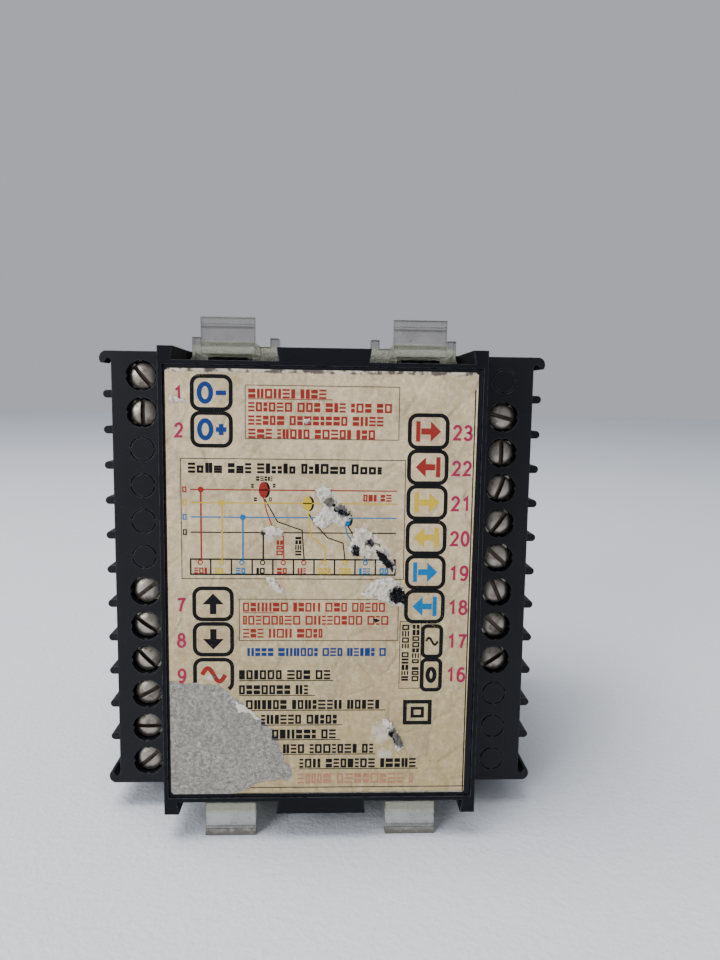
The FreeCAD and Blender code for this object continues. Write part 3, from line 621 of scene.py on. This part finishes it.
def terminal_boxes():
    """Rounded boxes with a coloured sign, and the terminal's number beside each."""
    left = ((36.6, "1", "blue", "bar"), (29.9, "2", "blue", "cross"), (-3.0, "7", "black", "up"),
            (-9.9, "8", "black", "down"), (-16.9, "9", "red", "wave"))
    for up, number, colour, sign in left:
        if number == "9":
            torn_box(printing["black"], LEFT_X, up)
        else:
            tile(printing["black"], LEFT_X, up, BOX_W, BOX_H, BOX_CORNER, BOX_LINE)
        draw_sign(printing[colour], LEFT_X, up, sign)
        figures(printing["pink"], number, -26.6, up - 0.2, 2.5)
    right = (("23", "red", "in"), ("22", "red", "out"), ("21", "yellow", "in"),
             ("20", "yellow", "out"), ("19", "sky", "in"), ("18", "sky", "out"))
    for i, (number, colour, sign) in enumerate(right):
        up = 30.0 - i * ROW
        tile(printing["black"], RIGHT_X, up, BOX_W, BOX_H, BOX_CORNER, BOX_LINE)
        draw_sign(printing[colour], RIGHT_X, up, sign)
        figures(printing["pink"], number, NUMBER_X, up - NUMBER_DROP, NUMBER_H)
    for i, (number, sign, size) in enumerate((("17", "wave", 0.52), ("16", "ring", 0.75))):
        up = 30.0 - (6 + i) * ROW
        tile(printing["black"], SUPPLY_X, up - 0.2, SUPPLY_W, BOX_H, SUPPLY_CORNER, BOX_LINE)
        draw_sign(printing["black"], SUPPLY_X, up - 0.2, sign, size)
        figures(printing["pink"], number, NUMBER_X, up - NUMBER_DROP, NUMBER_H)


def torn_box(bm, right, up):
    """The box whose lower side went with the peeled corner of the label."""
    half_w, half_h = BOX_W / 2 - BOX_LINE / 2, BOX_H / 2 - BOX_LINE / 2
    bend = BOX_CORNER - BOX_LINE / 2
    x, y = half_w - bend, half_h - bend
    corners = (arc(-x, y, bend, bend, 180, 90, 6) + arc(x, y, bend, bend, 90, 0, 6)
               + arc(x, -y, bend, bend, 0, -60, 4))
    line = [(-half_w, TORN_LOW)] + corners
    ribbon(bm, [(right + a, up + b) for a, b in line], BOX_LINE)


def draw_sign(bm, right, up, sign, size=1.0):
    """A generic sign for one terminal: ring with bar or cross, arrow, wave or ring."""
    if sign in ("bar", "cross"):
        disc(bm, right - 1.15, up, 1.5, 2.05, line=0.85)
        tile(bm, right + 1.75, up, 1.9, 0.85)
        if sign == "cross":
            for shift in (-0.72, 0.72):
                tile(bm, right + 1.75, up + shift, 0.85, 0.6)
    elif sign in ("up", "down"):
        way = 1 if sign == "up" else -1
        arrow(bm, right, up, way * pi / 2, 4.0, 4.0, 1.2)
    elif sign in ("in", "out"):
        way = 1 if sign == "in" else -1
        arrow(bm, right + way * 0.45, up, 0.0 if way > 0 else pi, 3.7, 3.8, 1.15)
        tile(bm, right - way * 1.95, up, 0.8, 3.8)
    elif sign == "wave":
        wave(bm, right, up, 4.4 * size, 1.3 * size, 0.85 * size)
    else:
        disc(bm, right, up, 1.45 * size, 2.2 * size, line=0.8)


def arrow(bm, right, up, turn, length, width, thick):
    """A solid arrow whose middle is the given place."""
    head = length * 0.52
    neck = length / 2 - head
    outline = [(-length / 2, thick / 2), (neck, thick / 2), (neck, width / 2), (length / 2, 0),
               (neck, -width / 2), (neck, -thick / 2), (-length / 2, -thick / 2)]
    place = lift(bm) @ Matrix.Translation((right, up, 0)) @ Matrix.Rotation(turn, 4, "Z")
    bm.faces.new([bm.verts.new(place @ Vector((x, y, 0))) for x, y in outline])


def wave(bm, right, up, length, height, thick):
    """One period of a wave."""
    steps = [t / 24 for t in range(25)]
    points = [(right + length * (t - 0.5), up + height * sin(2 * pi * t)) for t in steps]
    ribbon(bm, points, thick)


def note_panels():
    """Framed notes, the title and the data lines, all as block rows."""
    black, red = printing["black"], printing["red"]
    tile(black, -0.25, 33.2, 28.5, 9.9, line=0.12)
    for i, length in enumerate((15.5, 26.8, 26.6, 24.5)):
        words(red, -13.9, 36.6 - i * 2.45, length, 1.72, 11 + i)
    tile(red, -6.2, 35.6, 15.5, 0.14)
    words(black, -25.0, 22.8, 36.5, 1.9, 21, bold=0.34, lower=True)
    tile(black, -0.6, -6.1, 30.3, 8.2, line=0.12)
    for i, length in enumerate((28.6, 28.8, 15.5)):
        words(red, -15.0, -3.6 - i * 2.55, length, 1.75, 41 + i, bold=0.24)
    tile(red, -12.0, -4.7, 6.0, 0.14)
    words(printing["blue"], -14.2, -12.4, 27.4, 1.6, 51)
    spans = ((-15.8, 2.2), (-15.8, -1.2), (-14.5, 12.4), (-11.6, 4.1), (-9.5, 3.7), (-7.4, 10.6),
             (-4.2, 19.0))
    for i, (start, end) in enumerate(spans):
        up = -16.9 - i * 2.98
        words(black, start, up, end - start, 1.85, 61 + i)
        tile(black, (start + end) / 2, up - 1.15, end - start, 0.16)
    words(printing["faded"], -4.6, -37.9, 23.5, 2.0, 131, bold=0.22)
    tile(black, 7.2, -39.7, 42.0, 0.16)


def double_square(bm):
    """Two nested squares, as in the sign for double insulation, beside the data lines."""
    tile(bm, 18.6, -24.5, 5.6, 5.0, line=0.75)
    tile(bm, 18.6, -24.5, 2.6, 2.2, line=0.6)


def connection_diagram():
    """Four supply lines, three current transformers, and the row of terminals they reach."""
    black = printing["black"]
    tile(black, -5.5, 13.2, 41.8, 22.8, line=0.14)
    tile(black, -5.5, 4.16, 38.7, 3.2, line=0.3)
    cells = ("red", "yellow", "sky", "black", "red", "red", "yellow", "yellow", "sky", "sky")
    for i, colour in enumerate(cells):
        x = -24.85 + 3.87 * (i + 0.5)
        if i:
            tile(black, x - 1.935, 4.16, 0.28, 3.0)
        words(printing[colour], x - 1.15, 3.42, 2.4, 1.15, 70 + i)
        disc(printing[colour], x, 5.0, 0.5, line=0.2)
    for colour, up, drop in (("red", 18.75, -22.7), ("yellow", 16.3, -18.8), ("sky", 13.6, -14.95),
                             ("black", 10.72, -11.16)):
        bm = printing[colour]
        tile(bm, -5.4, up, 38.4, 0.22)
        tile(bm, drop, (up + 5.6) / 2, 0.3, up - 5.6)
        disc(bm, drop, up, 0.55, sides=14)
        words(bm, -26.1, up, 1.1, 1.1, 83)
    for colour, x, up, half_w, half_h in (("red", -11.15, 18.77, 0.84, 1.5),
                                          ("yellow", -2.95, 16.24, 0.86, 1.4),
                                          ("sky", 4.46, 13.23, 0.72, 1.2)):
        disc(black, x + 0.42, up, half_w, half_h)
        disc(printing[colour], x, up, half_w, half_h)
    wires = (("red", ((-11.1, 17.3), (-10.5, 14.6), (-9.3, 11.4), (-7.4, 10.0), (-7.3, 5.5))),
             ("black", ((-10.9, 17.1), (-8.5, 12.8), (-3.9, 11.2), (-3.5, 5.5))),
             ("yellow", ((-2.8, 14.7), (-2.2, 10.0), (0.4, 7.9), (0.4, 5.6))),
             ("black", ((-2.8, 14.6), (-1.6, 12.5), (0.9, 9.8), (3.8, 8.8), (4.2, 5.6))),
             ("sky", ((4.2, 12.2), (4.6, 10.4), (5.3, 9.4), (7.9, 7.1), (8.0, 5.5))),
             ("black", ((4.6, 12.2), (6.0, 9.9), (10.6, 8.6), (12.0, 5.6))))
    for colour, points in wires:
        ribbon(printing[colour], points, 0.22)
    words(printing["red"], 7.5, 17.4, 6.4, 1.3, 32)
    words(printing["red"], -8.1, 6.4, 2.9, 1.2, 91, turn=pi / 2)
    words(black, -4.6, 6.4, 3.7, 1.15, 92, turn=pi / 2)
    words(black, -12.5, 20.9, 3.7, 0.85, 95)
    for i, (right, up) in enumerate(((-13.4, 19.5), (-9.4, 19.6), (-12.9, 17.0), (-10.1, 17.0))):
        words(black, right, up, 0.9, 0.75, 96 + i)


def side_note():
    """The upright note beside the two supply terminals."""
    tile(printing["black"], 16.95, -13.0, 4.2, 13.4, line=0.12)
    for i, length in enumerate((11.8, 12.4)):
        words(printing["black"], 18.0 - i * 2.0, -7.0, length, 1.35, 101 + i, turn=-pi / 2)


def edge_line():
    right = LABEL_HALF_W - 0.9
    ribbon(printing["black"], [(right, 37.75), (right - 0.22, -40.75)], 0.22)


make_label()
terminal_boxes()
note_panels()
double_square(printing["black"])
connection_diagram()
side_note()
edge_line()
for layer, (ink_name, colour) in enumerate(INKS.items()):
    press_on(printing[ink_name], f"label_print_{ink_name}", ink(f"ink_{ink_name}", colour),
             INK_T + INK_STEP * layer)


# ----------------------------------------------- torn and crumpled paper

def reach_inside(outline, x, y):
    """How far a place lies inside an outline, or below 0 if it lies outside."""
    inside, nearest = False, 1e9
    for (x0, y0), (x1, y1) in zip(outline, outline[1:] + outline[:1]):
        if (y0 > y) != (y1 > y) and x < (x1 - x0) * (y - y0) / (y1 - y0) + x0:
            inside = not inside
        along = ((x - x0) * (x1 - x0) + (y - y0) * (y1 - y0)) / ((x1 - x0) ** 2 + (y1 - y0) ** 2)
        along = min(1.0, max(0.0, along))
        nearest = min(nearest, hypot(x0 + along * (x1 - x0) - x, y0 + along * (y1 - y0) - y))
    return nearest if inside else -nearest


def crumple(bm, outline, cell, height, base):
    """A crumpled sheet with a ragged border, inside an outline on the label."""
    low_x, high_x = min(x for x, y in outline) - 0.5, max(x for x, y in outline) + 0.5
    low_y, high_y = min(y for x, y in outline) - 0.5, max(y for x, y in outline) + 0.5
    columns, rows = int((high_x - low_x) / cell), int((high_y - low_y) / cell)
    verts = {}
    for i in range(columns):
        for j in range(rows):
            x, y = low_x + i * cell, low_y + j * cell
            ragged = 0.45 * noise.noise(Vector((x * 1.7, y * 1.7, 3.0)))
            inside = reach_inside(outline, x, y) + ragged
            if inside > 0:
                folds = 1 - 2 * abs(noise.noise(Vector((x * 0.9, y * 0.9, 8.0))))
                fluff = noise.noise(Vector((x * 3.1, y * 3.1, 5.0))) + 0.5
                up = base + height * min(1.0, inside / 0.5) * (0.65 * folds + 0.35 * fluff)
                verts[i, j] = bm.verts.new((-x * MM, (PRINT_Y + max(base, up)) * MM, y * MM))
    for i, j in verts:
        corners = [verts.get(key) for key in ((i, j), (i, j + 1), (i + 1, j + 1), (i + 1, j))]
        if all(corners):
            bm.faces.new(corners)


TEAR_CELL = 0.16                        # side of one cell of a crumpled sheet
RIM_RISE, PALE_RISE, DARK_RISE = 0.25, 0.75, 0.85


def make_tears():
    pale, dark = bmesh.new(), bmesh.new()
    for outline in PALE_TEARS:
        height = RIM_RISE if outline is PEEL_RIM else PALE_RISE
        crumple(pale, list(outline), TEAR_CELL, height, 0.05)
    for outline in DARK_TEARS:
        crumple(dark, list(outline), TEAR_CELL, DARK_RISE, 0.06)
    place_piece(pale, "torn_paper_pale", torn_fibre(), smooth=True)
    place_piece(dark, "torn_paper_dark", charred("torn_dark"),
                smooth=True)


make_tears()


# -------------------------------------------------------- front and inside

def segment(bm, right, up, length, width, upright):
    """One pointed bar of a seven-segment digit."""
    half, side = length / 2, width / 2
    outline = [(-half, 0), (-half + side, side), (half - side, side), (half, 0),
               (half - side, -side), (-half + side, -side)]
    if upright:
        outline = [(-y, x) for x, y in outline]
    bm.faces.new([bm.verts.new((right + x, up + y, 0)) for x, y in outline])


def display_segments():
    """Unlit seven-segment figures on the three display rows, read from the front."""
    low, high = (Vector(c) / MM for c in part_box("display_modules"))
    pitch = (high.x - low.x) / 5
    bm = bmesh.new()
    for row in range(3):
        middle = high.z - 6.8 - row * 15.4
        for place in range(5):
            x = low.x + pitch * (place + 0.5)
            for up in (-4.4, 0.0, 4.4):
                segment(bm, x, middle + up, 5.0, 1.0, False)
            for side in (-2.8, 2.8):
                for up in (-2.2, 2.2):
                    segment(bm, x + side, middle + up, 3.6, 1.0, True)
            disc(bm, x + 4.8, middle - 4.4, 0.6, sides=12)
    finish = moulded_part("display_segment", (0.60, 0.54, 0.52), 0.35)
    raise_front(bm, low.y, "display_segments", finish)


def raise_front(bm, face_y, name, finish, body="root"):
    """Lays flat print, drawn as it is read from the front, on a face that looks along -Y."""
    made = bmesh.ops.extrude_face_region(bm, geom=list(bm.faces))["geom"]
    raised = [part for part in made if isinstance(part, bmesh.types.BMVert)]
    bmesh.ops.translate(bm, vec=(0, 0, 0.04), verts=raised)
    rows = ((MM, 0, 0, 0), (0, 0, -MM, face_y * MM), (0, MM, 0, 0), (0, 0, 0, 1))
    bmesh.ops.transform(bm, matrix=Matrix(rows), verts=bm.verts)
    bmesh.ops.recalc_face_normals(bm, faces=bm.faces)
    return place_piece(bm, name, finish, body)


def key_signs():
    """An arrow up, down and to the side, and a ring, one on each key."""
    finish = moulded_part("key_sign", (0.75, 0.75, 0.73), 0.45)
    for i in range(4):
        low, high = (Vector(c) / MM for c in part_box(f"key_{i + 1}"))
        x, z = (low.x + high.x) / 2, (low.z + high.z) / 2
        bm = bmesh.new()
        if i == 3:
            disc(bm, x, z, 1.3, line=0.45)
        else:
            angle = (pi / 2, -pi / 2, 0.0)[i]
            tips = [(1.4, 0.0), (-0.9, 1.2), (-0.9, -1.2)]
            turned = [(x + a * cos(angle) - b * sin(angle), z + a * sin(angle) + b * cos(angle))
                      for a, b in tips]
            bm.faces.new([bm.verts.new((a, b, 0)) for a, b in turned])
        raise_front(bm, low.y, f"key_sign_{i + 1}", finish, f"key_{i + 1}")


def front_print():
    """A thin printed frame round the window and a short line over each key."""
    low, high = (Vector(corner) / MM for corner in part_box("display_window"))
    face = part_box("front_bezel")[0][1] / MM
    bm = bmesh.new()
    middle = (low + high) / 2
    tile(bm, middle.x, middle.z, high.x - low.x + 3.0, high.z - low.z + 3.0, corner=2.0, line=0.3)
    for i in range(4):
        low, high = (Vector(corner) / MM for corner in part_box(f"key_{i + 1}"))
        tile(bm, (low.x + high.x) / 2, high.z + 2.2, 5.0, 0.35)
    finish = moulded_part("front_ink", (0.42, 0.43, 0.45), 0.45)
    raise_front(bm, face, "front_print", finish)


display_segments()
key_signs()
front_print()


# ------------------------------------------- finishes of the frame's nodes

BLACK = (0.0035, 0.0040, 0.0055)
SCREW_RIM_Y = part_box("terminal_screw_01")[1][1] / MM - 0.5      # just below the heads' rims
BY_NODE = {
    "main_housing": moulded_plastic("housing_plastic", BLACK, dust=0.2, gloss=0.09),
    "rear_cover": moulded_plastic("cover_plastic", BLACK, 0.5),
    "front_bezel": moulded_plastic("bezel_plastic", BLACK, 0.48, 0.35, 0.12),
    "terminal_block": moulded_plastic("terminal_plastic", BLACK, 0.36, 0.4, gloss=0.2),
    "terminal_screw": cast_metal("screw_metal", (0.36, 0.325, 0.28), (0.075, 0.054, 0.04), 0.3,
                                 shade_below=SCREW_RIM_Y),
    "clamp_plate": cast_metal("plate_metal", (0.66, 0.62, 0.52), (0.30, 0.24, 0.16)),
    "terminal_contacts": cast_metal("contact_metal", (0.70, 0.66, 0.56), (0.34, 0.28, 0.18)),
    "board_screws": cast_metal("board_screw_metal", (0.62, 0.62, 0.62), (0.3, 0.3, 0.3)),
    # Painted shade and painted light: all four clips are one clear plastic, but the upper ones are
    # painted greyer and the lower ones whiter and less clear.
    "panel_clip_top": clear_plastic("clear_clip_upper_shaded_copy", (0.60, 0.565, 0.56), 0.90),
    "panel_clip_bottom": clear_plastic("clear_clip_lower_lit_copy", (0.96, 0.96, 0.96), 0.72),
    "display_window": smoked_plastic(),
    "display_board": solder_resist(),
    "power_board": solder_resist(),
    "display_modules": moulded_part("display_face", (0.02, 0.02, 0.02), 0.35),
    "indicator_leds": moulded_part("lamp_body", (0.42, 0.03, 0.02), 0.2),
    "tact_switches": moulded_part("switch_body", (0.03, 0.03, 0.032), 0.45),
    "board_headers": moulded_part("header_body", (0.015, 0.015, 0.016), 0.5),
    "board_chips": moulded_part("chip_body", (0.02, 0.02, 0.022), 0.55),
    "transformer": moulded_part("transformer_body", (0.55, 0.42, 0.06), 0.4),
    "capacitors": moulded_part("can_sleeve", (0.02, 0.03, 0.11), 0.3),
    "key": moulded_plastic("key_plastic", (0.14, 0.145, 0.155), 0.5, 0.3),
}
for node_name, node in NODES.items():
    family = max((name for name in BY_NODE if node_name.startswith(name)), key=len, default=None)
    if family:
        node.data.materials.clear()
        node.data.materials.append(BY_NODE[family].material)


# ------------------------------------------------ floor, light and camera

def make_floor():
    """A pale floor under the lower clips' tabs and the bezel's lower edge."""
    clip_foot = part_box("panel_clip_bottom_left")[0][2]
    bezel_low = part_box("front_bezel")[0]
    tab_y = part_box("panel_clip_bottom_left")[1][1]
    lean = atan2(bezel_low[2] - clip_foot, tab_y - bezel_low[1])
    bm = bmesh.new()
    bmesh.ops.create_grid(bm, x_segments=2, y_segments=2, size=1.6)
    bmesh.ops.rotate(bm, cent=(0, 0, 0), matrix=Matrix.Rotation(-lean, 3, "X"), verts=bm.verts)
    bmesh.ops.translate(bm, vec=(0, tab_y, clip_foot - 0.00005), verts=bm.verts)
    mesh = bpy.data.meshes.new("floor")
    bm.to_mesh(mesh)
    bm.free()
    finish = Finish("floor_sheet", roughness=0.6)
    grain = finish.noise(1.2, 4.0, 0.6)
    finish.drive(Base_Color=finish.mix(grain, (0.76, 0.79, 0.84), (0.88, 0.91, 0.96)))
    finish.bump(grain, 0.25)
    mesh.materials.append(finish.material)
    floor = bpy.data.objects.new("floor", mesh)
    bpy.context.scene.collection.objects.link(floor)


def add_light(name, place, size, power, colour=(1, 1, 1)):
    light = bpy.data.lights.new(name, "AREA")
    light.shape, light.size, light.energy, light.color = "DISK", size, power, colour
    lamp = bpy.data.objects.new(name, light)
    bpy.context.scene.collection.objects.link(lamp)
    lamp.location = place
    lamp.rotation_euler = (-Vector(place)).to_track_quat("-Z", "Y").to_euler()


def set_light():
    world = bpy.data.worlds.new("studio")
    world.use_nodes = True
    world.node_tree.nodes["Background"].inputs["Color"].default_value = (0.80, 0.83, 0.90, 1)
    world.node_tree.nodes["Background"].inputs["Strength"].default_value = 0.55
    bpy.context.scene.world = world
    add_light("ceiling_light", (0.25, 0.15, 0.9), 0.7, 9.0)
    add_light("window_light", (0.6, 0.7, 0.35), 0.5, 5.5, (0.95, 0.97, 1.0))


def set_camera():
    camera = bpy.data.cameras.new("camera")
    camera.sensor_width, camera.lens = 36.0, 27.05
    camera.clip_start = 0.005
    holder = bpy.data.objects.new("camera", camera)
    bpy.context.scene.collection.objects.link(holder)
    down, aside, roll = 6.35, 2.41, 0.81
    turn = (Matrix.Rotation(radians(180 - aside), 4, "Z")
            @ Matrix.Rotation(radians(90 - down), 4, "X")
            @ Matrix.Rotation(radians(roll), 4, "Z"))
    holder.matrix_world = Matrix.Translation(Vector((-1.2, 203.5, 35.7)) * MM) @ turn
    bpy.context.scene.camera = holder


make_floor()
set_light()
set_camera()
